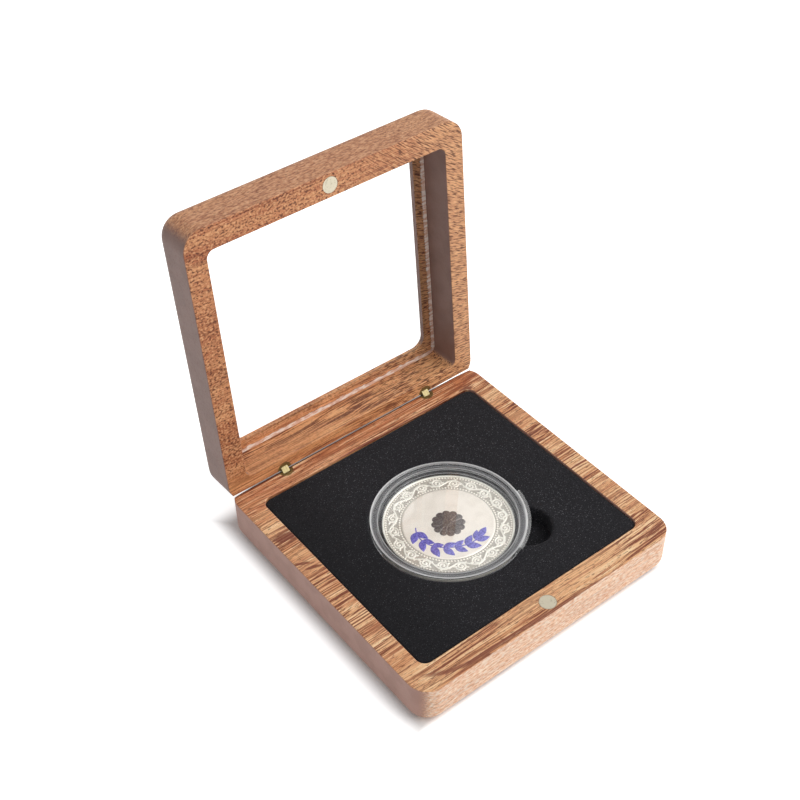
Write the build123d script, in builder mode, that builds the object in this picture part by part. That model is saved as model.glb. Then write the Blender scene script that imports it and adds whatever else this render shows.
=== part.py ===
from build123d import *
import math
import os

# Coin display case, in millimetres. +Z is up, +Y points to the hinges, and the origin is the centre
# of the base's underside. The lid stands open. It is drawn on its own mating plane, whose directions
# are those of the base when the case is shut.

# Wooden case
case_width = 96.0
case_depth = 96.0
base_height = 14.5
lid_height = 14.5
corner_radius = 6.5
outer_edge_radius = 4.0
mating_edge_radius = 0.3
mating_gap = 0.1

# Pocket in the base
base_side_rail = 6.75
base_front_rail = 8.4
base_back_rail = 9.3
base_pocket_radius = 3.0
base_floor = 6.8

# Pocket, lip and pane in the lid
lid_side_rail = 6.75
lid_front_rail = 7.7
lid_back_rail = 7.2
lid_pocket_radius = 2.5
lip_width = 3.7
lip_thickness = 1.9
lip_edge_radius = 0.4
window_radius = 4.0
pane_thickness = 2.0
pane_clearance = 0.15

# Velvet-covered insert
insert_clearance = 0.15
backing_thickness = 1.2
velvet_thickness = 0.5
velvet_edge_radius = 0.35
insert_recess = 0.5
capsule_x = -1.5
capsule_y = -2.3
recess_clearance = 0.3
notch_radius = 7.5
notch_angle = -45.0

# Coin
coin_radius = 20.0
coin_thickness = 2.2
coin_rim_width = 0.7
coin_field_depth = 0.12
coin_slack = 0.25

# Clear capsule
capsule_radius = 23.6
capsule_height = 6.2
capsule_wall = 1.2
capsule_floor = 1.1
capsule_edge_radius = 0.3
coin_ledge_height = 0.8
lower_wall_height = 3.9
rim_width = 1.2
rim_step_width = 1.3
rim_step_depth = 0.5
plate_depth = 1.2
plate_thickness = 1.2
slip_gap = 0.1
skirt_gap = 0.2
tab_reach = 1.1
tab_thickness = 0.6
tab_start_angle = -68.0
tab_sweep_angle = 57.0

# Magnets
magnet_radius = 2.5
magnet_thickness = 2.0
magnet_setback = 3.7
magnet_clearance = 0.1

# Barrel hinges
open_angle = 94.5
hinge_spread = 56.0
hinge_setback = 3.0
stop_gap = 0.3
barrel_radius = 2.4
barrel_length = 8.0
barrel_clearance = 0.02
barrel_chamfer = 0.4
pin_radius = 0.35
pin_inset = 0.2
pin_fit = 0.01
base_pin_clearance = 0.03
lid_pin_clearance = 0.2
link_radius = 0.95
link_clearance = 0.1
plate_count = 3
link_plate_thickness = 0.75
link_plate_gap = 0.04

# Each link turns half of the lid's angle. The bevels behind the hinges then stop the lid, and the
# pins lie deep enough to leave the stop gap between the bevels' far edges. Between shut and open the
# lid turns about one line close to the base pins, and its own pins have play in the links for that.
half_angle = math.radians(open_angle) / 2
bevel_closing = hinge_setback * (math.sin(half_angle) - math.cos(half_angle))
pin_depth = ((stop_gap - mating_gap) / 2 + bevel_closing) / (1 - math.cos(half_angle))
link_length = 2 * pin_depth + mating_gap
link_direction = Vector(0, math.sin(half_angle), math.cos(half_angle))
lid_axis_reach = link_length * (math.cos(half_angle / 2) - math.sin(half_angle / 2) / math.tan(half_angle))
lid_axis_offset = Vector(0, math.sin(half_angle / 2), math.cos(half_angle / 2)) * lid_axis_reach
link_stack = plate_count * link_plate_thickness + (plate_count - 1) * link_plate_gap
slot_width = link_stack + 2 * link_clearance
slot_depth = pin_depth + link_radius + link_clearance
pin_length = 2 * (barrel_radius - pin_inset)
hinge_y = case_depth / 2 - hinge_setback
hinge_sides = {"left": -hinge_spread / 2, "right": hinge_spread / 2}
hinge_seats = [(x, hinge_y) for x in hinge_sides.values()]

# Mating planes of the base and of the opened lid, with their y to the hinges. The wood lies below
# the base's plane and above the lid's.
base_face = Plane.XY.offset(base_height)
base_pin_centre = base_face.from_local_coords((0, hinge_y, -pin_depth))
lid_pin_centre = base_pin_centre + link_direction * link_length
lid_normal = (0, math.sin(2 * half_angle), math.cos(2 * half_angle))
lid_pins = Plane(origin=lid_pin_centre, x_dir=(1, 0, 0), z_dir=lid_normal)
lid_corner = lid_pins.from_local_coords((0, -hinge_y, -pin_depth))
lid_face = Plane(origin=lid_corner, x_dir=(1, 0, 0), z_dir=lid_normal)
lid_upward = Axis(lid_face.origin, lid_face.z_dir)

# Pockets
base_pocket_width = case_width - 2 * base_side_rail
base_pocket_depth = case_depth - base_front_rail - base_back_rail
base_pocket_y = (base_front_rail - base_back_rail) / 2
lid_pocket_width = case_width - 2 * lid_side_rail
lid_pocket_depth = case_depth - lid_front_rail - lid_back_rail
lid_pocket_y = (lid_front_rail - lid_back_rail) / 2
lip_height = lid_height - lip_thickness
magnet_y = magnet_setback - case_depth / 2

# Insert heights and the recess for the capsule
backing_top = base_floor + backing_thickness
velvet_top = base_height - insert_recess
foam_thickness = velvet_top - velvet_thickness - backing_top
insert_width = base_pocket_width - 2 * insert_clearance
insert_depth = base_pocket_depth - 2 * insert_clearance
insert_radius = base_pocket_radius - insert_clearance
recess_radius = capsule_radius + recess_clearance
notch_x = capsule_x + capsule_radius * math.cos(math.radians(notch_angle))
notch_y = capsule_y + capsule_radius * math.sin(math.radians(notch_angle))

# Capsule and coin heights
capsule_bottom = backing_top + velvet_thickness + slip_gap
capsule_axis = Axis((capsule_x, capsule_y, 0), (0, 0, 1))
capsule_section = Plane(origin=(capsule_x, capsule_y, capsule_bottom), x_dir=(1, 0, 0), z_dir=(0, -1, 0))
coin_seat = capsule_section.from_local_coords((0, capsule_floor + slip_gap, 0))
coin_section = Plane(origin=coin_seat, x_dir=(1, 0, 0), z_dir=(0, -1, 0))
coin_seat_radius = coin_radius + coin_slack
ledge_top = capsule_floor + coin_ledge_height
flange_bottom = lower_wall_height + slip_gap
skirt_radius = capsule_radius - capsule_wall - slip_gap
plate_top = capsule_height - plate_depth
tab_bottom = capsule_bottom + capsule_height - tab_thickness


def bevel_plane(face, into):
    # The cut behind the hinges, at 45 degrees from the pins' line to the back of the case.
    normal = face.y_dir - face.z_dir * into
    return Plane(origin=face.from_local_coords((0, hinge_y, 0)), x_dir=face.x_dir, z_dir=normal)


def recess_outline(growth):
    # The capsule's round recess with the finger notch on its edge.
    with BuildSketch() as outline:
        with Locations((capsule_x, capsule_y)):
            Circle(recess_radius + growth)
        with Locations((notch_x, notch_y)):
            Circle(notch_radius + growth)
    return outline.sketch


def pin_plane(face, into, x):
    # The plane across a barrel's pin, at the middle of the barrel.
    centre = face.from_local_coords((x, hinge_y, into * pin_depth))
    return Plane(origin=centre, x_dir=face.y_dir, z_dir=face.x_dir)


def pin(face, into, x):
    # A steel pin across a barrel.
    with BuildPart() as shape:
        with BuildSketch(pin_plane(face, into, x)):
            Circle(pin_radius)
        extrude(amount=pin_length / 2, both=True)
    return shape.part


def barrel(face, into, x):
    # A brass barrel sunk into a mating face, bevelled with the wood and slotted for the links.
    with BuildPart() as shape:
        with BuildSketch(face):
            with Locations((x, hinge_y)):
                Circle(barrel_radius)
        extrude(amount=into * barrel_length)
        buried_end = shape.faces().sort_by(Axis(face.origin, face.z_dir * into))[-1]
        chamfer(buried_end.edges(), length=barrel_chamfer)
        split(bisect_by=bevel_plane(face, into), keep=Keep.BOTTOM)
        with BuildSketch(face):
            with Locations((x, hinge_y - link_radius - link_clearance)):
                Rectangle(slot_width, 2 * barrel_radius, align=(Align.CENTER, Align.MIN))
        extrude(amount=into * slot_depth, mode=Mode.SUBTRACT)
        with BuildSketch(pin_plane(face, into, x)):
            Circle(pin_radius + pin_fit)
        extrude(amount=barrel_radius, both=True, mode=Mode.SUBTRACT)
    return shape.part


def link_plates(x):
    # The stack of links that joins a base barrel's pin to the lid barrel's.
    with BuildPart() as shape:
        for index in range(plate_count):
            plate_x = x - link_stack / 2 + index * (link_plate_thickness + link_plate_gap)
            corner = base_pin_centre + Vector(plate_x, 0, 0)
            with BuildSketch(Plane(origin=corner, x_dir=link_direction, z_dir=(1, 0, 0))):
                with Locations((link_length / 2, 0)):
                    SlotCenterToCenter(link_length, 2 * link_radius)
                Circle(pin_radius + base_pin_clearance, mode=Mode.SUBTRACT)
                with Locations((link_length, 0)):
                    Circle(pin_radius + lid_pin_clearance, mode=Mode.SUBTRACT)
            extrude(amount=link_plate_thickness)
    return shape.part


def magnet(face, into):
    # A disc magnet, flush with a mating face.
    with BuildPart() as shape:
        with BuildSketch(face):
            with Locations((0, magnet_y)):
                Circle(magnet_radius)
        extrude(amount=into * magnet_thickness)
    return shape.part


def save(part, label):
    part.label = label
    export_step(part, f"parts/{label}.step")


os.makedirs("parts", exist_ok=True)
into_base = -1
into_lid = 1

with BuildPart() as base_body:
    with BuildSketch(Plane.XY):
        RectangleRounded(case_width, case_depth, corner_radius)
    extrude(amount=base_height)
    fillet(base_body.faces().sort_by(Axis.Z)[0].edges(), radius=outer_edge_radius)
    with BuildSketch(base_face):
        with Locations((0, base_pocket_y)):
            RectangleRounded(base_pocket_width, base_pocket_depth, base_pocket_radius)
    extrude(amount=base_floor - base_height, mode=Mode.SUBTRACT)
    fillet(base_body.faces().sort_by(Axis.Z)[-1].edges(), radius=mating_edge_radius)
    split(bisect_by=bevel_plane(base_face, into_base), keep=Keep.BOTTOM)
    with BuildSketch(base_face):
        with Locations(*hinge_seats):
            Circle(barrel_radius + barrel_clearance)
    extrude(amount=into_base * barrel_length, mode=Mode.SUBTRACT)
    with BuildSketch(base_face):
        with Locations((0, magnet_y)):
            Circle(magnet_radius + magnet_clearance)
    extrude(amount=into_base * magnet_thickness, mode=Mode.SUBTRACT)
save(base_body.part, "base_body")

with BuildPart() as lid_frame:
    with BuildSketch(lid_face):
        RectangleRounded(case_width, case_depth, corner_radius)
    extrude(amount=lid_height)
    fillet(lid_frame.faces().sort_by(lid_upward)[-1].edges(), radius=outer_edge_radius)
    with BuildSketch(lid_face):
        with Locations((0, lid_pocket_y)):
            RectangleRounded(lid_pocket_width, lid_pocket_depth, lid_pocket_radius)
    extrude(amount=lip_height, mode=Mode.SUBTRACT)
    fillet(lid_frame.faces().sort_by(lid_upward)[0].edges(), radius=mating_edge_radius)
    with BuildSketch(lid_face.offset(lid_height)):
        with Locations((0, lid_pocket_y)):
            RectangleRounded(
                lid_pocket_width - 2 * lip_width,
                lid_pocket_depth - 2 * lip_width,
                window_radius,
            )
    extrude(amount=-lip_thickness, mode=Mode.SUBTRACT)
    window_rim = lid_frame.faces().sort_by(lid_upward)[-1].inner_wires()[0]
    fillet(window_rim.edges(), radius=lip_edge_radius)
    split(bisect_by=bevel_plane(lid_face, into_lid), keep=Keep.BOTTOM)
    with BuildSketch(lid_face):
        with Locations(*hinge_seats):
            Circle(barrel_radius + barrel_clearance)
    extrude(amount=into_lid * barrel_length, mode=Mode.SUBTRACT)
    with BuildSketch(lid_face):
        with Locations((0, magnet_y)):
            Circle(magnet_radius + magnet_clearance)
    extrude(amount=into_lid * magnet_thickness, mode=Mode.SUBTRACT)
save(lid_frame.part, "lid_frame")

with BuildPart() as window_pane:
    with BuildSketch(lid_face.offset(lip_height)):
        with Locations((0, lid_pocket_y)):
            RectangleRounded(
                lid_pocket_width - 2 * pane_clearance,
                lid_pocket_depth - 2 * pane_clearance,
                lid_pocket_radius,
            )
    extrude(amount=-pane_thickness)
save(window_pane.part, "window_pane")

with BuildPart() as insert_backing:
    with BuildSketch(Plane.XY.offset(base_floor)):
        with Locations((0, base_pocket_y)):
            RectangleRounded(insert_width, insert_depth, insert_radius)
    extrude(amount=backing_thickness)
save(insert_backing.part, "insert_backing")

foam_hole = recess_outline(velvet_thickness)
with BuildPart() as insert_foam:
    with BuildSketch(Plane.XY.offset(backing_top)):
        with Locations((0, base_pocket_y)):
            RectangleRounded(
                insert_width - 2 * velvet_thickness,
                insert_depth - 2 * velvet_thickness,
                insert_radius - velvet_thickness,
            )
        add(foam_hole, mode=Mode.SUBTRACT)
    extrude(amount=foam_thickness)
save(insert_foam.part, "insert_foam")

velvet_hole = recess_outline(0)
with BuildPart() as velvet_cover:
    with BuildSketch(Plane.XY.offset(backing_top)):
        with Locations((0, base_pocket_y)):
            RectangleRounded(insert_width, insert_depth, insert_radius)
    extrude(amount=velvet_top - backing_top)
    add(insert_foam.part, mode=Mode.SUBTRACT)
    with BuildSketch(Plane.XY.offset(backing_top + velvet_thickness)):
        add(velvet_hole)
    extrude(amount=velvet_top - backing_top, mode=Mode.SUBTRACT)
    fillet(velvet_cover.faces().sort_by(Axis.Z)[-1].edges(), radius=velvet_edge_radius)
save(velvet_cover.part, "velvet_cover")

with BuildPart() as capsule_lower:
    with BuildSketch(capsule_section):
        with BuildLine():
            Polyline(
                (0, 0),
                (capsule_radius, 0),
                (capsule_radius, lower_wall_height),
                (capsule_radius - capsule_wall, lower_wall_height),
                (capsule_radius - capsule_wall, ledge_top),
                (coin_seat_radius, ledge_top),
                (coin_seat_radius, capsule_floor),
                (0, capsule_floor),
                close=True,
            )
        make_face()
    revolve(axis=capsule_axis)
    fillet(capsule_lower.edges().group_by(Axis.Z)[0], radius=capsule_edge_radius)
save(capsule_lower.part, "capsule_lower")

with BuildPart() as capsule_upper:
    with BuildSketch(capsule_section):
        with BuildLine():
            Polyline(
                (0, plate_top - plate_thickness),
                (coin_seat_radius, plate_top - plate_thickness),
                (coin_seat_radius, ledge_top + skirt_gap),
                (skirt_radius, ledge_top + skirt_gap),
                (skirt_radius, flange_bottom),
                (capsule_radius, flange_bottom),
                (capsule_radius, capsule_height),
                (capsule_radius - rim_width, capsule_height),
                (capsule_radius - rim_width, capsule_height - rim_step_depth),
                (capsule_radius - rim_width - rim_step_width, capsule_height - rim_step_depth),
                (capsule_radius - rim_width - rim_step_width, plate_top),
                (0, plate_top),
                close=True,
            )
        make_face()
    revolve(axis=capsule_axis)
    with BuildSketch(Plane(origin=(capsule_x, capsule_y, tab_bottom))):
        with BuildLine():
            tab_edge = CenterArc((0, 0), capsule_radius + tab_reach, tab_start_angle, tab_sweep_angle)
            Line(tab_edge @ 1, (0, 0))
            Line((0, 0), tab_edge @ 0)
        make_face()
        Circle(capsule_radius - rim_width / 2, mode=Mode.SUBTRACT)
    extrude(amount=tab_thickness)
save(capsule_upper.part, "capsule_upper")

with BuildPart() as coin:
    with BuildSketch(coin_section):
        with BuildLine():
            Polyline(
                (0, coin_field_depth),
                (coin_radius - coin_rim_width, coin_field_depth),
                (coin_radius - coin_rim_width, 0),
                (coin_radius, 0),
                (coin_radius, coin_thickness),
                (coin_radius - coin_rim_width, coin_thickness),
                (coin_radius - coin_rim_width, coin_thickness - coin_field_depth),
                (0, coin_thickness - coin_field_depth),
                close=True,
            )
        make_face()
    revolve(axis=capsule_axis)
save(coin.part, "coin")

save(magnet(base_face, into_base), "base_magnet")
save(magnet(lid_face, into_lid), "lid_magnet")

for side, x in hinge_sides.items():
    save(barrel(base_face, into_base, x), f"{side}_base_barrel")
    save(barrel(lid_face, into_lid, x), f"{side}_lid_barrel")
    save(pin(base_face, into_base, x), f"{side}_base_pin")
    save(pin(lid_face, into_lid, x), f"{side}_lid_pin")
    save(link_plates(x), f"{side}_link_plates")

hinge_lines = {
    "base pins": base_pin_centre,
    "lid pins": lid_pin_centre,
    "lid's turning line": base_pin_centre + lid_axis_offset,
}
for name, place in hinge_lines.items():
    print(f"{name}: y {place.Y:.4f}, z {place.Z:.4f}")
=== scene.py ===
import math

import bmesh
import bpy
import numpy as np
from mathutils import Matrix, Vector, kdtree
from mathutils.geometry import delaunay_2d_cdt


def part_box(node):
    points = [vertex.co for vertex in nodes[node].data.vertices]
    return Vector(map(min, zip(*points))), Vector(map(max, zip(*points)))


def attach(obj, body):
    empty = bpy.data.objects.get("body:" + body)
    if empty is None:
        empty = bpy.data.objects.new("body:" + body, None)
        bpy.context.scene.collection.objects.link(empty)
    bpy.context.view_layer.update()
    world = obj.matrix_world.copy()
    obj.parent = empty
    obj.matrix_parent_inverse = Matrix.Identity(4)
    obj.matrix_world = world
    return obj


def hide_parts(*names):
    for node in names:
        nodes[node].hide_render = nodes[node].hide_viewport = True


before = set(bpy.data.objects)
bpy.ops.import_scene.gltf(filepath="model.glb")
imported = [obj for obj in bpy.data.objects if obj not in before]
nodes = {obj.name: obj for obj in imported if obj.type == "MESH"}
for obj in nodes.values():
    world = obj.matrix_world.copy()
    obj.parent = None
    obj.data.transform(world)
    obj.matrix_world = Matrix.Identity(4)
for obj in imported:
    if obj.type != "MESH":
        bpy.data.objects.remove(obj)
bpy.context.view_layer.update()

mm = 0.001
print("frame loaded")


# Node trees: a Wire is a socket that takes arithmetic, a Finish is the tree it belongs to.

class Wire:
    def __init__(self, finish, socket):
        self.finish = finish
        self.socket = socket

    def over(self, low, high):
        return self.finish.node("ShaderNodeMapRange", {"interpolation_type": "SMOOTHSTEP"},
                                {"Value": self, "From Min": low, "From Max": high})

    def function(self, operation):
        return self.finish.node("ShaderNodeMath", {"operation": operation}, {0: self})


def arithmetic(operation, swapped):
    def apply(self, other):
        first, second = (other, self) if swapped else (self, other)
        return self.finish.node("ShaderNodeMath", {"operation": operation}, {0: first, 1: second})
    return apply


for word, operation in {"add": "ADD", "sub": "SUBTRACT", "mul": "MULTIPLY", "truediv": "DIVIDE",
                        "pow": "POWER"}.items():
    setattr(Wire, f"__{word}__", arithmetic(operation, False))
    setattr(Wire, f"__r{word}__", arithmetic(operation, True))


class Finish:
    def __init__(self, name, tree=None):
        if tree is None:
            self.material = bpy.data.materials.new(name)
            self.material.use_nodes = True
            tree = self.material.node_tree
        self.tree = tree
        tree.nodes.clear()

    def node(self, kind, settings={}, sockets={}, out=0):
        made = self.tree.nodes.new(kind)
        for key, value in settings.items():
            setattr(made, key, value)
        for key, value in sockets.items():
            if isinstance(value, Wire):
                self.tree.links.new(value.socket, made.inputs[key])
            else:
                made.inputs[key].default_value = value
        return Wire(self, made.outputs[out]) if len(made.outputs) else None

    def coordinate(self, kind):
        return self.node("ShaderNodeTexCoord", out=kind)

    def place(self, origin=(0, 0, 0), turn=(0, 0, 0)):
        return self.node("ShaderNodeMapping", {"vector_type": "TEXTURE"},
                         {"Vector": self.coordinate("Object"), "Location": origin, "Rotation": turn,
                          "Scale": (mm, mm, mm)})

    def noise(self, spot, pitch, detail=2.0, rough=0.5, seed=0.0):
        spot = self.node("ShaderNodeMapping", {"vector_type": "TEXTURE"},
                         {"Vector": spot, "Location": (seed, 1.7 * seed, -seed), "Scale": pitch})
        return self.node("ShaderNodeTexNoise", {"noise_dimensions": "3D"},
                         {"Vector": spot, "Scale": 1.0, "Detail": detail, "Roughness": rough})

    def split(self, vector):
        made = self.node("ShaderNodeSeparateXYZ", sockets={"Vector": vector})
        outputs = made.socket.node.outputs
        return [Wire(self, outputs[k]) for k in range(3)]

    def join(self, x, y, z):
        return self.node("ShaderNodeCombineXYZ", sockets={"X": x, "Y": y, "Z": z})

    def blend(self, factor, first, second):
        return self.node("ShaderNodeMix", {"data_type": "RGBA"}, {0: factor, 6: first, 7: second}, 2)

    def highest(self, first, second):
        return self.node("ShaderNodeMath", {"operation": "MAXIMUM"}, {0: first, 1: second})

    def ramp(self, value, stops):
        made = self.node("ShaderNodeValToRGB", sockets={"Fac": value})
        elements = made.socket.node.color_ramp.elements
        while len(elements) < len(stops):
            elements.new(0.5)
        for element, (position, colour) in zip(elements, stops):
            element.position = position
            element.color = colour
        return made

    def bump(self, height, distance, strength):
        sockets = {"Height": height, "Distance": distance * mm, "Strength": strength}
        return self.node("ShaderNodeBump", sockets=sockets, out="Normal")

    def surface(self, sockets):
        return self.node("ShaderNodeBsdfPrincipled", sockets=sockets)

    def finish(self, shader):
        self.node("ShaderNodeOutputMaterial", sockets={"Surface": shader})
        return self.material


def tone(red, green, blue):
    parts = [c / 255 for c in (red, green, blue)]
    linear = [c / 12.92 if c < 0.0405 else ((c + 0.055) / 1.055) ** 2.4 for c in parts]
    return (*linear, 1.0)


def dress(node, material):
    slots = nodes[node].material_slots
    for k in range(len(slots)):
        slots[k].material = material


def addPiece(name, points, faces, material, body, attribute=None, weld=0.0):
    mesh = bpy.data.meshes.new(name)
    mesh.from_pydata([tuple(p) for p in np.asarray(points) * mm], [], faces)
    if attribute is not None:
        layer = mesh.attributes.new("relief", "FLOAT", "POINT")
        layer.data.foreach_set("value", np.asarray(attribute, np.float32))
    if weld:
        made = bmesh.new()
        made.from_mesh(mesh)
        bmesh.ops.remove_doubles(made, verts=made.verts, dist=weld * mm)
        bmesh.ops.recalc_face_normals(made, faces=made.faces)
        made.to_mesh(mesh)
        made.free()
    mesh.polygons.foreach_set("use_smooth", [True] * len(mesh.polygons))
    mesh.materials.append(material)
    mesh.update()
    item = bpy.data.objects.new(name, mesh)
    bpy.context.scene.collection.objects.link(item)
    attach(item, body)
    return item


# Wood. The grain runs along X in both halves, and the ends of the blocks are smoother and greyer.

baseWood = {
    "origin": (0, 0, 0), "turn": (0, 0, 0), "seed": 3.0, "sway": 3.0,
    "stops": [(0.30, tone(204, 138, 92)), (0.46, tone(222, 162, 114)), (0.62, tone(238, 188, 140))],
    "linePitch": 0.5, "line": tone(122, 58, 34), "lineShare": 0.95,
    "pale": tone(255, 222, 178), "paleShare": 0.8,
    "red": tone(186, 102, 70), "redShare": 0.4,
    "pore": tone(88, 42, 28), "poreShare": 0.7, "porePitch": (1.9, 0.26, 0.26),
    "end": tone(180, 138, 124), "endPore": tone(148, 108, 94),
    # front, frontFleck and frontDark: the front face's paler tones, partly paler wood and partly a
    # painted highlight of the light from the front.
    "frontToneAndHighlight": tone(246, 206, 176), "frontFleck": tone(255, 236, 216), "frontDark": tone(214, 158, 122),
    "streak": tone(120, 58, 40),
    # painted shade: the back rail by the hinge is darkened, as the lid standing beside it shades it.
    "hinge": tone(186, 104, 64), "hingeShare": 0.5,
}
lidWood = {
    "origin": (0, 48.9956 * mm, 59.7910 * mm), "turn": (math.radians(-94.5), 0, 0), "seed": 41.0,
    "sway": 4.0,
    "stops": [(0.30, tone(166, 98, 62)), (0.46, tone(188, 120, 80)), (0.62, tone(212, 148, 102))],
    "linePitch": 0.55, "line": tone(106, 52, 30), "lineShare": 0.95,
    "pale": tone(240, 188, 138), "paleShare": 0.65,
    "red": tone(166, 82, 52), "redShare": 0.35,
    "pore": tone(84, 44, 30), "poreShare": 0.85, "porePitch": (1.5, 0.26, 0.26),
    "end": tone(138, 108, 98), "endPore": tone(114, 86, 76),
    # front, frontFleck and frontDark: the front face's paler tones, partly paler wood and partly a
    # painted highlight of the light from the front.
    "frontToneAndHighlight": tone(196, 138, 100), "frontFleck": tone(224, 172, 132), "frontDark": tone(136, 84, 60),
    "streak": tone(120, 66, 46),
    "hinge": tone(222, 156, 100), "hingeShare": 0.6,
    "speckle": 0.95,
}
# Dark figures in the base's top: centre x, y, half length, half width, turn, all in mm and degrees.
baseFigures = [
    (-44.0, 22.3, 3.6, 1.7, -12.0),
    (-45.8, 10.6, 2.4, 0.55, -24.0),
    (-44.0, 7.6, 2.6, 0.6, -18.0),
    (39.5, 38.4, 3.2, 1.5, 8.0),
]


def ellipse(f, spot, figure, ragged):
    centreX, centreY, length, width, turn = figure
    local = f.node("ShaderNodeMapping", {"vector_type": "TEXTURE"},
                   {"Vector": spot, "Location": (centreX, centreY, 0),
                    "Rotation": (0, 0, math.radians(turn)), "Scale": (length, width, 1)})
    u, v, _ = f.split(local)
    return (u * u + v * v + ragged).over(1.25, 0.6)


def wood(name, look, figures=(), sweep=False):
    f = Finish(name)
    place = f.place(look["origin"], look["turn"])
    facing = f.node("ShaderNodeMapping", {"vector_type": "TEXTURE"},
                    {"Vector": f.coordinate("Normal"), "Rotation": look["turn"]})
    x, y, z = f.split(place)
    nx, ny, nz = f.split(facing)
    seed, pitch = look["seed"], look["linePitch"]
    sway = (f.noise(place, (38, 15, 15), 1, seed=seed) - 0.5) * look["sway"]
    fibre = f.join(x, y + sway, z + sway)
    broad = f.noise(fibre, (70, 5, 5), 2, seed=seed)
    lines = f.noise(fibre, (26, pitch, pitch), 2, 0.6, seed=seed)
    threads = f.noise(fibre, (4, 0.2, 0.2), 2, seed=seed)
    density = f.noise(fibre, (40, 7, 7), 1, seed=seed + 1).over(0.36, 0.60)
    # Towards the hinge the colour moves to the hinge tone: on the base a darker red-brown, painted shade
    # from the standing lid beside it; on the lid the paler tan of its hinge rail.
    hinge = y.over(33, 42)
    colour = f.ramp(broad * 0.75 + threads * 0.3 - 0.03, look["stops"])
    colour = f.blend(hinge * look["hingeShare"], colour, look["hinge"])
    reddish = f.noise(fibre, (9, 1.1, 1.1), 2, seed=seed + 3).over(0.50, 0.66)
    colour = f.blend(reddish * look["redShare"], colour, look["red"])
    lined = density * 0.55 + 0.45
    if "speckle" in look:
        lined = lined * (hinge * 0.6 + 0.4)
    colour = f.blend(lines.over(0.46, 0.34) * look["paleShare"] * lined, colour, look["pale"])
    dark = lines.over(0.495, 0.565) * lined
    colour = f.blend(dark * look["lineShare"], colour, look["line"])

    pores = f.noise(fibre, look["porePitch"], 1, seed=seed).over(0.58, 0.68)
    if "speckle" in look:
        # Dots on the left give way to dashes on the right, whose slant eases off towards the hinge.
        slant = f.join(x, y - (48 - y) * (x - 40) * 0.0081, z)
        dots = f.noise(place, (0.8, 0.62, 0.62), 1, seed=seed + 5)
        dashes = f.noise(slant, (2.4, 0.42, 0.42), 1, seed=seed + 9)
        right = x.over(2, 26)
        left = (1 - right) * (1 - hinge * 0.8)
        pores = pores * 0.3 + dots.over(0.54, 0.66) * left * look["speckle"]
        pores = pores + dashes.over(0.52, 0.62) * right * look["speckle"]
        bright = dots.over(0.44, 0.32) * left + dashes.over(0.45, 0.34) * right
        colour = f.blend(bright * 0.55, colour, look["pale"])
        colour = f.blend(x.over(20, 40) * 0.35, colour, look["pale"])
    colour = f.blend(pores * look["poreShare"], colour, look["pore"])

    ragged = (f.noise(fibre, (3.0, 0.4, 0.4), 2, seed=seed + 2) - 0.5) * 2.2
    up = nz.function("ABSOLUTE").over(0.5, 0.85)
    for figure in figures:
        colour = f.blend(ellipse(f, place, figure, ragged) * 0.85 * up, colour, look["streak"])
    if sweep:
        # A dark streak that sweeps round from the left corner and runs out along the front edge.
        bend = (-29 - x).function("ABSOLUTE") - x - 29
        middle = -46.5 - (x + 29) * 0.035 + bend * bend * 0.005
        across = ((y - middle) / 0.75) ** 2 + ragged * 0.8
        along = x.over(30, 4) * x.over(-46, -40)
        colour = f.blend(across.over(1.3, 0.2) * along * 0.75 * up, colour, look["streak"])

    # Painted highlight: faces towards -Y near the front edge take the front tones, partly paler wood and
    # partly the light from the front painted into the colour.
    frontToneAndHighlight = (ny * -1).over(0.55, 0.9) * y.over(-30, -44)
    flecks = f.noise(fibre, (1.5, 0.55, 0.55), 1, seed=seed + 4)
    face = f.blend(flecks.over(0.52, 0.62), look["frontToneAndHighlight"], look["frontFleck"])
    face = f.blend(flecks.over(0.46, 0.36) * 0.8, face, look["frontDark"])
    face = f.blend(0.3, face, colour)
    colour = f.blend(frontToneAndHighlight, colour, face)

    ends = nx.function("ABSOLUTE").over(0.45, 0.9)
    endFlecks = f.noise(place, (0.5, 0.3, 0.3), 2, seed=seed + 6)
    bands = f.noise(place, (60, 6, 6), 2, seed=seed + 7)
    endColour = f.blend(endFlecks.over(0.60, 0.75) * 0.5, look["end"], look["endPore"])
    endColour = f.blend(bands.over(0.4, 0.65) * 0.35, endColour, look["endPore"])
    colour = f.blend(ends, colour, endColour)

    height = (threads * 0.3 - dark * 0.35 - pores * 0.9) * (1 - ends * 0.7)
    rough = 0.5 - (lines - 0.5) * 0.2 + pores * 0.12
    shader = f.surface({"Base Color": colour, "Roughness": rough, "IOR": 1.45,
                        "Normal": f.bump(height, 0.05, 0.8)})
    return f.finish(shader)


dress("base_body", wood("base_wood", baseWood, baseFigures, True))
dress("lid_frame", wood("lid_wood", lidWood))
print("wood done")


# Clear plastics let light through to what lies under them, so a shadow ray passes straight on.

# The capsule's rim is painted with rings round its centre, from dark by the coin to bright at the edge:
# painted reflections and highlights of the clear walls and flange.
capsuleLook = {
    "tint": (0.97, 0.975, 0.98, 1), "centre": (-1.5, -2.3), "start": 20.0, "span": 4.0,
    "fade": (19.95, 20.15), "edge": (23.8, 23.62),
    "paintedRings": [(0.0, tone(70, 70, 72)), (0.12, tone(44, 44, 46)), (0.24, tone(60, 60, 62)),
              (0.31, tone(214, 214, 214)), (0.38, tone(128, 128, 130)), (0.55, tone(96, 96, 99)),
              (0.74, tone(132, 132, 135)), (0.82, tone(226, 226, 226)), (0.9, tone(236, 236, 236))],
}
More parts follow.
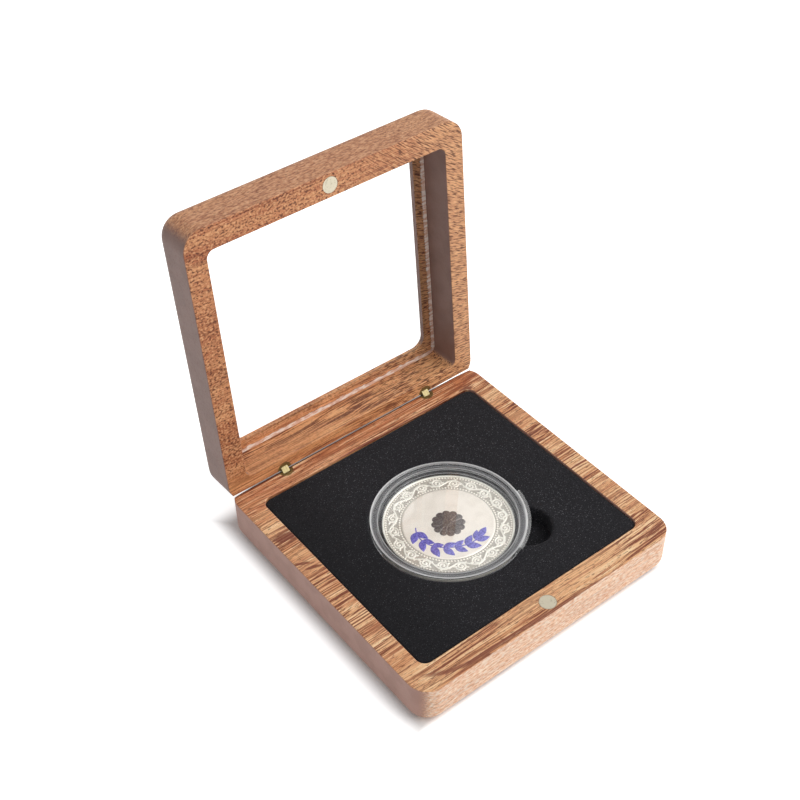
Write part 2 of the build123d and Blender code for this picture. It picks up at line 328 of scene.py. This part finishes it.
# The pane's sawn sides and a blotchy band round its faces are pale and pinkish: partly the frosted sawn
# acrylic, partly a painted glow of light caught in the edge with a painted pink reflection of the wood;
# the band paints that glowing edge onto the faces.
paneLow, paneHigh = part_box("window_pane")
paneLook = {"tint": (0.985, 0.99, 0.99, 1), "halfX": (paneHigh.x - paneLow.x) / 2 / mm, "halfY": 40.4,
            "middleY": 0.25, "band": 1.7, "dull": tone(228, 186, 164), "pale": tone(255, 246, 238)}


def capsuleRim(f, place, haze, glass):
    look = capsuleLook
    flat = f.split(f.coordinate("Normal"))[2].function("ABSOLUTE").over(0.5, 0.9)
    x, y, _ = f.split(place)
    across, along = x - look["centre"][0], y - look["centre"][1]
    away = (across * across + along * along) ** 0.5
    shade = f.ramp((away - look["start"]) / look["span"], look["paintedRings"])
    shade = f.blend(haze * 0.25, shade, tone(150, 150, 152))
    # Painted reflections and highlights: the ring colours laid over the clear plastic.
    paintedRingShine = f.surface({"Base Color": shade, "Roughness": 0.2 + haze * 0.1})
    inside = away.over(*look["edge"]) * 0.85 + 0.15
    cover = away.over(*look["fade"]) * inside * (flat * 0.5 + 0.06)
    return f.node("ShaderNodeMixShader", sockets={0: cover, 1: glass, 2: paintedRingShine})


def paneBand(f, place, haze, glass):
    look = paneLook
    local = f.place(lidWood["origin"], lidWood["turn"])
    x, y, _ = f.split(local)
    facing = f.node("ShaderNodeMapping", {"vector_type": "TEXTURE"},
                    {"Vector": f.coordinate("Normal"), "Rotation": lidWood["turn"]})
    side = 1 - f.split(facing)[2].function("ABSOLUTE").over(0.2, 0.6)
    blotch = f.noise(local, (2.5, 0.8, 0.8), 3)
    across = x.function("ABSOLUTE") - look["halfX"]
    along = (y - look["middleY"]).function("ABSOLUTE") - look["halfY"]
    rim = (f.highest(across, along) + (blotch - 0.5) * 1.2).over(-look["band"], -look["band"] * 0.7)
    cover = f.highest(side, rim * 0.85)
    # Painted glow and reflection: the pale and pink tones stand in for light caught in the frosted edge
    # and the wood reflected in it.
    glowPink = f.blend(blotch.over(0.42, 0.6), look["dull"], look["pale"])
    frostAndGlow = f.surface({"Base Color": glowPink, "Roughness": 0.35 + blotch * 0.3})
    return f.node("ShaderNodeMixShader", sockets={0: cover * 0.85, 1: glass, 2: frostAndGlow})


def clearPlastic(name, look, dressing):
    f = Finish(name)
    place = f.place()
    haze = f.noise(place, (4, 4, 4), 3).over(0.5, 0.75)
    glass = f.surface({"Base Color": look["tint"], "Roughness": 0.01 + haze * 0.02, "IOR": 1.49,
                       "Transmission Weight": 1.0})
    glass = dressing(f, place, haze, glass)
    passing = f.node("ShaderNodeBsdfTransparent", sockets={"Color": (0.93, 0.94, 0.94, 1)})
    shadow = f.node("ShaderNodeLightPath", out="Is Shadow Ray")
    return f.finish(f.node("ShaderNodeMixShader", sockets={0: shadow, 1: glass, 2: passing}))


capsulePlastic = clearPlastic("capsule_plastic", capsuleLook, capsuleRim)
for half in ("capsule_lower", "capsule_upper"):
    dress(half, capsulePlastic)
dress("window_pane", clearPlastic("pane_acrylic", paneLook, paneBand))
print("plastics done")


# Small metal parts.

metals = {
    "brass": {"nodes": ["left_base_barrel", "right_base_barrel", "left_lid_barrel", "right_lid_barrel"],
              "light": tone(138, 122, 84), "dark": tone(66, 52, 28), "rough": 0.36},
    "link_brass": {"nodes": ["left_link_plates", "right_link_plates"],
                   "light": tone(150, 138, 102), "dark": tone(74, 60, 36), "rough": 0.36},
    "steel": {"nodes": ["left_base_pin", "right_base_pin", "left_lid_pin", "right_lid_pin"],
              "light": tone(205, 205, 205), "dark": tone(140, 138, 135), "rough": 0.28},
    "nickel": {"nodes": ["base_magnet", "lid_magnet"],
               "light": tone(196, 188, 168), "dark": tone(150, 142, 124), "rough": 0.36},
}


def metal(name, look):
    f = Finish(name)
    place = f.place()
    stain = f.noise(place, (0.9, 0.9, 0.9), 3, 0.6)
    turned = f.noise(place, (3.0, 3.0, 0.12), 1)
    colour = f.blend(stain.over(0.52, 0.72) * 0.6, look["light"], look["dark"])
    rough = look["rough"] + stain * 0.15
    return f.finish(f.surface({"Base Color": colour, "Metallic": 1.0, "Roughness": rough,
                               "Normal": f.bump(turned * 0.5 + stain * 0.5, 0.01, 0.6)}))


for name, look in metals.items():
    material = metal(name, look)
    for node in look["nodes"]:
        dress(node, material)


def dull(name, light, dark, pitch):
    f = Finish(name)
    place = f.place()
    grain = f.noise(place, (pitch, pitch, pitch), 3, 0.6)
    return f.finish(f.surface({"Base Color": f.blend(grain.over(0.4, 0.6), light, dark),
                               "Roughness": 0.85 + grain * 0.1, "Normal": f.bump(grain, 0.1, 0.7)}))


dress("insert_foam", dull("foam", tone(62, 62, 64), tone(38, 38, 40), 0.35))
dress("insert_backing", dull("card", tone(140, 132, 120), tone(118, 110, 100), 0.8))
print("metals done")


# Velvet skin: stretched over the foam, down its outer sides, and down into the recess and notch.

velvetLook = {"round": 0.65, "floorRound": 0.45, "step": 1.7, "recess": ((-1.5, -2.3), 23.9),
              "notch": ((15.19, -18.99), 7.5), "corner": 2.85, "floor": 8.5, "foot": 8.0}


def velvetMaterial():
    f = Finish("velvet")
    place = f.place()
    pile = f.noise(place, (0.16, 0.16, 0.16), 2, 0.6)
    nap = f.noise(place, (7, 5, 7), 3, 0.55)
    dust = f.noise(place, (0.34, 0.34, 0.34), 0, seed=4).over(0.70, 0.78)
    colour = f.blend(pile.over(0.36, 0.66), tone(6, 6, 8), tone(50, 49, 53))
    colour = f.blend(nap.over(0.42, 0.66) * 0.4, colour, tone(30, 29, 32))
    colour = f.blend(dust * 0.6, colour, tone(104, 104, 108))
    # Painted shade: the velvet is darkened towards the left, away from the light.
    colour = f.blend(f.split(place)[0].over(-14, -36) * 0.45, colour, tone(8, 8, 10))
    return f.finish(f.surface({
        "Base Color": colour, "Roughness": 0.9 - nap * 0.1, "Specular IOR Level": 0.12,
        "Sheen Weight": 0.08, "Sheen Roughness": 0.5, "Sheen Tint": (0.7, 0.7, 0.74, 1),
        "Normal": f.bump(pile + nap * 2, 0.06, 0.8)}))


def roundedLoop(halfX, halfY, radius, centreY, step):
    points = []
    for k, (sx, sy) in enumerate(((1, 1), (-1, 1), (-1, -1), (1, -1))):
        start = k * math.pi / 2
        corner = (sx * (halfX - radius), centreY + sy * (halfY - radius))
        for j in range(9):
            angle = start + j * math.pi / 16
            points.append((corner[0] + radius * math.cos(angle), corner[1] + radius * math.sin(angle)))
    loop = []
    for a, b in zip(points, points[1:] + points[:1]):
        count = max(1, round(math.dist(a, b) / step))
        loop += [(a[0] + (b[0] - a[0]) * j / count, a[1] + (b[1] - a[1]) * j / count)
                 for j in range(count)]
    return loop


def unionLoop(circles, step):
    (a, ra), (b, rb) = circles
    apart = math.dist(a, b)
    course = math.atan2(b[1] - a[1], b[0] - a[0])
    openA = math.acos((apart ** 2 + ra ** 2 - rb ** 2) / (2 * apart * ra))
    openB = math.acos((apart ** 2 + rb ** 2 - ra ** 2) / (2 * apart * rb))
    loop = []
    for centre, radius, start, end in ((a, ra, course + openA, course + 2 * math.pi - openA),
                                       (b, rb, course - math.pi + openB, course + math.pi - openB)):
        count = max(4, round(abs(end - start) * radius / step))
        for j in range(count):
            angle = start + (end - start) * j / count
            loop.append((centre[0] + radius * math.cos(angle), centre[1] + radius * math.sin(angle)))
    return loop


def fill(loops, extra, inside):
    points = [Vector(p) for loop in loops for p in loop]
    edges, first = [], 0
    for loop in loops:
        edges += [(first + k, first + (k + 1) % len(loop)) for k in range(len(loop))]
        first += len(loop)
    points += [Vector(p) for p in extra]
    found, _, faces, *_ = delaunay_2d_cdt(points, edges, [], 0, 1e-5)
    kept = [f for f in faces if inside(*(sum((found[k] for k in f), Vector((0, 0))) / len(f)))]
    return np.array([tuple(p) for p in found]), kept


def makeVelvet():
    look = velvetLook
    low, high = (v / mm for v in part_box("velvet_cover"))
    halfX, halfY = (high.x - low.x) / 2, (high.y - low.y) / 2
    middleY, top = (high.y + low.y) / 2, high.z
    hole = [look["recess"], look["notch"]]

    def toEdge(x, y):
        u = abs(x) - (halfX - look["corner"])
        v = abs(y - middleY) - (halfY - look["corner"])
        out = math.hypot(max(u, 0), max(v, 0)) + min(max(u, v), 0)
        return look["corner"] - out

    def toHole(x, y):
        return min(math.dist((x, y), centre) - radius for centre, radius in hole)

    def rounding(distance, radius):
        rest = radius - min(max(distance, 0), radius)
        return radius - math.sqrt(radius * radius - rest * rest)

    outline = roundedLoop(halfX, halfY, look["corner"], middleY, look["step"])
    rim = unionLoop(hole, 0.9)
    extra = []
    for inset in (0.08, 0.22, 0.42, 0.7, 1.2):
        extra += roundedLoop(halfX - inset, halfY - inset, look["corner"] - inset, middleY, look["step"])
        extra += [p for p in unionLoop([(c, r + inset) for c, r in hole], 0.9)]
    grid = [(x, y) for x in np.arange(-halfX, halfX, look["step"])
            for y in np.arange(middleY - halfY, middleY + halfY, look["step"])]
    extra += [p for p in grid if toEdge(*p) > 2 and toHole(*p) > 2]
    flat, faces = fill([outline, rim], extra, lambda x, y: toEdge(x, y) > 0 and toHole(x, y) > 0)
    wave = [0.035 * (math.sin(x * 0.16 + 1) + math.sin(y * 0.13 + x * 0.05)) - 0.07 for x, y in flat]
    points = [(x, y, top - rounding(min(toEdge(x, y), toHole(x, y)), look["round"])
               + w * min(1, toEdge(x, y) / 6, toHole(x, y) / 4)) for (x, y), w in zip(flat, wave)]

    # The floor of the recess curves up into its wall.
    extra = []
    for inset in (0.1, 0.25, 0.45, 1.0):
        extra += unionLoop([(c, r - inset) for c, r in hole], 0.9)
    extra += [p for p in grid if toHole(*p) < -1.8]
    flat, floorFaces = fill([rim], extra, lambda x, y: toHole(x, y) < 0)
    depth = [max(r - math.dist(p, c) for c, r in hole) for p in flat]
    faces += [[k + len(points) for k in f] for f in floorFaces]
    points += [(x, y, look["floor"] + rounding(d, look["floorRound"])) for (x, y), d in zip(flat, depth)]

    def wall(loop, upper, lower, rows):
        first = len(points)
        count = len(loop)
        for z in np.linspace(upper, lower, rows):
            points.extend((x, y, z) for x, y in loop)
        for row in range(rows - 1):
            for k in range(count):
                a, b = first + row * count + k, first + row * count + (k + 1) % count
                faces.append([a, a + count, b + count, b])

    wall(rim, top - look["round"], look["floor"] + look["floorRound"], 5)
    wall(outline, top - look["round"], look["foot"], 4)
    item = addPiece("velvet_skin", points, faces, velvetMaterial(), "case_base", weld=0.004)
    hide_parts("velvet_cover")
    return item


makeVelvet()
print("velvet done")


# Coin: a matte centre, a ring of scroll relief between two rows of beads, a rim and a reeded edge.

coinLook = {"columns": 900, "reeds": 150, "reed": 0.09, "inner": 14.2, "outer": 19.3, "ring": 16.8,
            "field": 0.26, "ground": 0.38, "ridge": 0.2, "beads": ((14.75, 100), (18.95, 128)),
            "bead": 0.33, "units": 10}


def scrollPoints(look):
    # One unit of the vine, over 36 degrees: a wavy stem with a curl in each of its bends.
    arc = 2 * math.pi / look["units"]
    ring, points = look["ring"], []
    for k in range(-40, 281):
        t = k / 240
        points.append((ring + 1.15 * math.sin(2 * math.pi * t), t * arc))
    for bend, side in ((0.25, -1), (0.75, 1), (-0.25, 1), (1.25, -1)):
        centre = (ring + side * 0.15, bend * arc)
        for k in range(160):
            turn = k / 159
            radius = 1.45 * (1 - turn) ** 0.8 + 0.16
            angle = side * (math.pi * 0.9 - turn * 3.2 * math.pi)
            points.append((centre[0] + radius * math.sin(angle) * 0.95,
                           centre[1] + radius * math.cos(angle) / ring))
        for k in range(5):
            angle = math.pi * (0.15 + 0.42 * k)
            for j in range(12):
                radius = 1.5 + j * 0.055
                points.append((centre[0] + radius * math.sin(angle) * 0.98,
                               centre[1] + radius * math.cos(angle) / ring))
    return [(r * math.cos(a), r * math.sin(a)) for r, a in points]


def ringRelief(look, radii, angles):
    curve = scrollPoints(look)
    tree = kdtree.KDTree(len(curve))
    for k, p in enumerate(curve):
        tree.insert((*p, 0), k)
    tree.balance()
    unit = look["columns"] // look["units"]
    away = np.array([[tree.find((r * math.cos(a), r * math.sin(a), 0))[2] for a in angles[:unit]]
                     for r in radii])
    away = np.tile(away, (1, look["units"]))
    ridge = np.sqrt(np.clip(1 - (away / 0.3) ** 2, 0, 1))
    for radius, count in look["beads"]:
        turn = angles[None, :] * count / (2 * math.pi)
        across = (turn - np.round(turn)) * 2 * math.pi / count * radius
        apart = np.hypot(radii[:, None] - radius, across)
        ridge = np.where(np.abs(radii[:, None] - radius) < 0.42, 0, ridge)
        ridge = np.maximum(ridge, np.sqrt(np.clip(1 - (apart / look["bead"]) ** 2, 0, 1)))
    fade = np.clip((radii - look["inner"]) / 0.12, 0, 1) * np.clip((look["outer"] - radii) / 0.12, 0, 1)
    return ridge * fade[:, None]


def coinMaterial():
    f = Finish("coin_silver")
    place = f.place()
    relief = f.node("ShaderNodeAttribute", {"attribute_name": "relief"}, out="Fac")
    frost = f.noise(place, (0.16, 0.16, 0.16), 2, 0.6)
    cloud = f.noise(place, (4, 4, 4), 3)
    colour = f.blend(cloud.over(0.4, 0.65) * 0.5, tone(242, 234, 224), tone(228, 219, 208))
    colour = f.blend(frost.over(0.5, 0.7) * 0.3, colour, tone(252, 248, 240))
    # Below zero marks the ring's ground, which has gone dark; ridges are worn bright.
    colour = f.blend((relief * -1).over(0.1, 0.9) * 0.6, colour, tone(120, 116, 104))
    colour = f.blend(relief.over(0.3, 0.9), colour, tone(240, 238, 228))
    rough = 0.42 - relief.over(0.2, 0.9) * 0.18 + frost * 0.1
    return f.finish(f.surface({"Base Color": colour, "Metallic": 0.35, "Roughness": rough,
                               "Normal": f.bump(frost, 0.012, 0.7)}))


def makeCoin():
    look = coinLook
    low, high = (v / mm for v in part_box("coin"))
    centre = (low + high) / 2
    radius, top, bottom = (high.x - low.x) / 2, high.z, low.z
    angles = np.arange(look["columns"]) * 2 * math.pi / look["columns"]
    core = np.array([1.5, 4, 7, 10, 12.5, 13.6, look["inner"] - 0.05])
    ring = np.linspace(look["inner"], look["outer"], 80)
    rim = np.array([19.34, 19.42, 19.6, 19.8, 19.92])
    relief = ringRelief(look, ring, angles)
    rows = []
    for r in core:
        rows.append((np.full(len(angles), r), np.full(len(angles), look["field"]), 0 * angles))
    for r, ridge in zip(ring, relief):
        shade = ridge * 2 - 1
        rows.append((np.full(len(angles), r), look["ground"] - ridge * look["ridge"],
                     np.where(ridge > 0, shade, -1)))
    for r, drop in zip(rim, (0.2, 0.06, 0.0, 0.02, 0.07)):
        rows.append((np.full(len(angles), r), np.full(len(angles), drop), np.full(len(angles), 0.9)))
    reeds = look["reed"] * (0.5 - 0.5 * np.cos(angles * look["reeds"]))
    edge = [(radius - reeds, np.full(len(angles), z), np.full(len(angles), 0.4))
            for z in (bottom + 0.16, bottom + 0.3, top - 0.3, top - 0.16)]

    points, shades = [(centre.x, centre.y, top - look["field"])], [0.0]
    layers = [(r, top - drop, s) for r, drop, s in rows] + edge[::-1]
    layers += [(r, bottom + drop, s) for r, drop, s in rows[::-1]]
    for r, z, s in layers:
        points += list(zip(centre.x + r * np.cos(angles), centre.y + r * np.sin(angles), z))
        shades += list(s)
    points.append((centre.x, centre.y, bottom + look["field"]))
    shades.append(0.0)
    count, faces = len(angles), []
    for k in range(count):
        faces.append([0, 1 + k, 1 + (k + 1) % count])
        last = 1 + (len(layers) - 1) * count
        faces.append([last + (k + 1) % count, last + k, len(points) - 1])
    for row in range(len(layers) - 1):
        first = 1 + row * count
        for k in range(count):
            after = (k + 1) % count
            faces.append([first + k, first + count + k, first + count + after, first + after])
    item = addPiece("coin_body", points, faces, coinMaterial(), "coin", attribute=shades)
    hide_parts("coin")
    return centre, top - look["field"]


def slab(grid, bottom, walls):
    # A closed solid under a grid of points: the grid, a flat underside, and walls on the named sides.
    rows, columns = grid.shape[:2]
    upper = grid.reshape(-1, 3)
    points = [tuple(p) for p in upper] + [(p[0], p[1], bottom) for p in upper]
    half, faces = rows * columns, []
    for i in range(rows - 1):
        for j in range(columns - 1):
            a = i * columns + j
            faces.append([a, a + 1, a + columns + 1, a + columns])
            faces.append([half + a + columns, half + a + columns + 1, half + a + 1, half + a])
    sides = {"rowStart": [j for j in range(columns)],
             "rowEnd": [(rows - 1) * columns + j for j in range(columns)],
             "columnStart": [i * columns for i in range(rows)],
             "columnEnd": [i * columns + columns - 1 for i in range(rows)]}
    for side in walls:
        for a, b in zip(sides[side], sides[side][1:]):
            faces.append([a, b, half + b, half + a])
    return points, faces


rosetteLook = {"radius": 5.2, "petals": 12, "dome": 1.35}
sprayLook = {"radius": 10.0, "from": 152, "to": 292, "pairs": 7, "leaf": (4.9, 1.25), "lean": 38,
             "height": 0.2, "stem": 0.2}


def makeRosette(centre, field):
    look = rosetteLook
    turns = np.linspace(0, 2 * math.pi, 241)
    shares = np.linspace(0, 1, 30)
    grid = np.zeros((len(turns), len(shares), 3))
    for i, turn in enumerate(turns):
        lobe = abs(math.cos(turn * look["petals"] / 2))
        reach = look["radius"] * (0.85 + 0.15 * lobe ** 0.6)
        for j, share in enumerate(shares):
            r = reach * share
            if r < look["dome"]:
                lift = 0.1 + 0.13 * math.sqrt(1 - (r / look["dome"]) ** 2)
            else:
                along = (r - look["dome"]) / (reach - look["dome"])
                vein = 0.035 * math.exp(-((1 - lobe) / 0.03) ** 2)
                swell = math.sqrt(max(math.sin(math.pi * (0.12 + 0.88 * along)), 0))
                lift = 0.03 + 0.18 * lobe ** 0.5 * swell - vein
            grid[i, j] = (centre.x + r * math.cos(turn), centre.y + r * math.sin(turn), field + lift)
    points, faces = slab(grid, field - 0.02, ["columnEnd"])
    f = Finish("rosette_dark")
    place = f.place()
    grain = f.noise(place, (0.5, 0.5, 0.5), 3, 0.6)
    fine = f.noise(place, (0.12, 0.12, 0.12), 1)
    colour = f.blend(grain.over(0.4, 0.64), tone(104, 98, 98), tone(140, 132, 128))
    material = f.finish(f.surface({
        "Base Color": colour, "Metallic": 1.0, "Roughness": 0.3 + grain * 0.15,
        "Normal": f.bump(fine, 0.01, 0.6)}))
    addPiece("coin_rosette", points, faces, material, "coin", weld=0.003)


def makeSpray(centre, field):
    look = sprayLook
    start, end = math.radians(look["from"]), math.radians(look["to"])
    points, faces = [], []

    def join(grid, walls):
        more, sides = slab(grid, field - 0.02, walls)
        faces.extend([k + len(points) for k in f] for f in sides)
        points.extend(more)

    def stemAt(angle):
        reach = look["radius"] + 0.5 * math.sin((angle - start) * 3.2)
        return np.array([centre.x + reach * math.cos(angle), centre.y + reach * math.sin(angle)])

    angles = np.linspace(start, end, 90)
    across = np.linspace(-1, 1, 7)
    grid = np.zeros((len(angles), len(across), 3))
    for i, angle in enumerate(angles):
        middle = stemAt(angle)
        out = np.array([math.cos(angle), math.sin(angle)])
        for j, share in enumerate(across):
            grid[i, j, :2] = middle + out * share * look["stem"]
            grid[i, j, 2] = field + 0.03 + 0.12 * math.sqrt(max(1 - share * share, 0))
    join(grid, ["rowStart", "rowEnd", "columnStart", "columnEnd"])

    length, width = look["leaf"]
    along, across = np.linspace(0, 1, 22), np.linspace(-1, 1, 13)
    sprigs = [(start + (end - start) * (k + 0.5) / look["pairs"], side)
              for k in range(look["pairs"]) for side in (-1, 1)] + [(end, 0)]
    for number, (angle, side) in enumerate(sprigs):
        base = stemAt(angle)
        heading = angle + math.pi / 2 - side * math.radians(look["lean"])
        ahead = np.array([math.cos(heading), math.sin(heading)])
        aside = np.array([-ahead[1], ahead[0]])
        size = 1 - 0.035 * (number % 5) - (0.12 if side < 0 else 0)
        grid = np.zeros((len(along), len(across), 3))
        for i, s in enumerate(along):
            half = width * math.sin(math.pi * s ** 0.85) ** 0.9 if 0 < s < 1 else 0.0
            curl = 0.35 * side * s * s
            for j, t in enumerate(across):
                grid[i, j, :2] = base + (ahead * s * length + aside * (half * t + curl)) * size
                rib = 0.06 * math.exp(-(t / 0.16) ** 2) * min(1, half)
                crown = (1 - t * t) ** 0.5 * min(1.0, half * 1.6)
                grid[i, j, 2] = field + 0.02 + look["height"] * crown - rib
        join(grid, ["columnStart", "columnEnd"])
    f = Finish("spray_enamel")
    place = f.place()
    pool = f.noise(place, (0.7, 0.7, 0.7), 3, 0.6)
    glint = f.noise(place, (0.2, 0.2, 0.2), 1).over(0.62, 0.74)
    colour = f.blend(pool.over(0.38, 0.64), tone(72, 70, 158), tone(124, 118, 206))
    colour = f.blend(glint * 0.5, colour, tone(190, 184, 236))
    material = f.finish(f.surface({"Base Color": colour, "Metallic": 0.25, "Roughness": 0.3 + pool * 0.2,
                                   "Coat Weight": 0.3, "Normal": f.bump(pool, 0.02, 0.7)}))
    addPiece("coin_spray", points, faces, material, "coin", weld=0.003)


coinCentre, coinField = makeCoin()
makeRosette(coinCentre, coinField)
makeSpray(coinCentre, coinField)
print("coin done")


# Floor, light and camera.

# Away from the case the paper glows white. The glow stops on the left and in a slit behind the case,
# where the shadow lies. Each pair is where the change starts and ends, in mm.
floorLook = {"size": 4.0, "drop": 0.0001, "glow": 0.7, "left": (-1.5, 5), "ahead": (-46, -49),
             "beside": (40, 50), "behind": (48, 56), "slitX": ((46, 42), (-38, -32)),
             "slitY": ((44, 50), (80, 72))}


def whiteRays(f):
    rays = f.node("ShaderNodeLightPath").socket.node.outputs
    seen = sum((Wire(f, rays[name]) for name in ("Is Glossy Ray", "Is Transmission Ray")),
               Wire(f, rays["Is Camera Ray"]))
    return seen.over(0.0, 1.0)


def makeFloor():
    look = floorLook
    size = look["size"]
    mesh = bpy.data.meshes.new("floor")
    mesh.from_pydata([(-size, -size, 0), (size, -size, 0), (size, size, 0), (-size, size, 0)], [],
                     [(0, 1, 2, 3)])
    item = bpy.data.objects.new("floor", mesh)
    item.location.z = -look["drop"]
    bpy.context.scene.collection.objects.link(item)
    f = Finish("floor_paper")
    place = f.place()
    grain = f.noise(place, (1.5, 1.5, 1.5), 2)
    x, y, _ = f.split(place)
    left = (-48 - x).over(*look["left"])
    slit = y.over(*look["slitY"][0]) * y.over(*look["slitY"][1])
    slit = slit * x.over(*look["slitX"][0]) * x.over(*look["slitX"][1])
    around = f.highest(f.highest(left, x.over(*look["beside"])), y.over(*look["ahead"]))
    glow = f.highest(around, y.over(*look["behind"])) * (1 - slit) * whiteRays(f)
    tint = f.blend(grain.over(0.4, 0.6), (0.9, 0.9, 0.9, 1), (0.92, 0.92, 0.92, 1))
    paper = f.node("ShaderNodeBsdfDiffuse", sockets={"Color": tint})
    light = f.node("ShaderNodeEmission", sockets={"Color": (1, 1, 1, 1), "Strength": look["glow"]})
    lit = f.node("ShaderNodeAddShader", sockets={0: paper, 1: light})
    shader = f.node("ShaderNodeMixShader", sockets={0: glow, 1: paper, 2: lit})
    item.data.materials.append(f.finish(shader))


def makeWorld():
    world = bpy.data.worlds.new("studio")
    bpy.context.scene.world = world
    world.use_nodes = True
    f = Finish("studio", world.node_tree)
    plain = f.node("ShaderNodeBackground", sockets={"Color": (0.96, 0.98, 1, 1), "Strength": 0.5})
    white = f.node("ShaderNodeBackground", sockets={"Color": (1, 1, 1, 1), "Strength": 1.0})
    mixed = f.node("ShaderNodeMixShader", sockets={0: whiteRays(f), 1: plain, 2: white})
    f.node("ShaderNodeOutputWorld", sockets={"Surface": mixed})


def lamp(name, spot, size, power, colour=(1, 1, 1)):
    data = bpy.data.lights.new(name, "AREA")
    data.shape = "DISK"
    data.size = size
    data.energy = power
    data.color = colour
    item = bpy.data.objects.new(name, data)
    bpy.context.scene.collection.objects.link(item)
    item.location = spot
    item.rotation_mode = "QUATERNION"
    item.rotation_quaternion = (Vector((0, 0, 0.03)) - Vector(spot)).to_track_quat("-Z", "Y")


camLook = {"azimuth": -37.3074, "elevation": 42.5391, "roll": -1.1699,
           "place": (-177.0960, -210.0267, 312.1954), "lens": 60.382}


def makeCamera():
    look = camLook
    azimuth, elevation, roll = (math.radians(look[k]) for k in ("azimuth", "elevation", "roll"))
    back = Vector((math.sin(azimuth) * math.cos(elevation), -math.cos(azimuth) * math.cos(elevation),
                   math.sin(elevation)))
    right = Vector((math.cos(azimuth), math.sin(azimuth), 0))
    up = back.cross(right)
    turned = right * math.cos(roll) + up * math.sin(roll)
    upright = up * math.cos(roll) - right * math.sin(roll)
    data = bpy.data.cameras.new("camera")
    data.lens = look["lens"]
    data.sensor_width = 36
    data.clip_start, data.clip_end = 0.02, 20
    item = bpy.data.objects.new("camera", data)
    bpy.context.scene.collection.objects.link(item)
    item.matrix_world = Matrix.Translation(Vector(look["place"]) * mm) @ Matrix(
        (turned, upright, back)).transposed().to_4x4()
    bpy.context.scene.camera = item


makeFloor()
makeWorld()
lamp("key", (0.46, -0.46, 0.62), 1.0, 6.0, (1, 0.985, 0.96))
makeCamera()
bpy.context.scene.view_settings.view_transform = "Standard"
print("stage done")
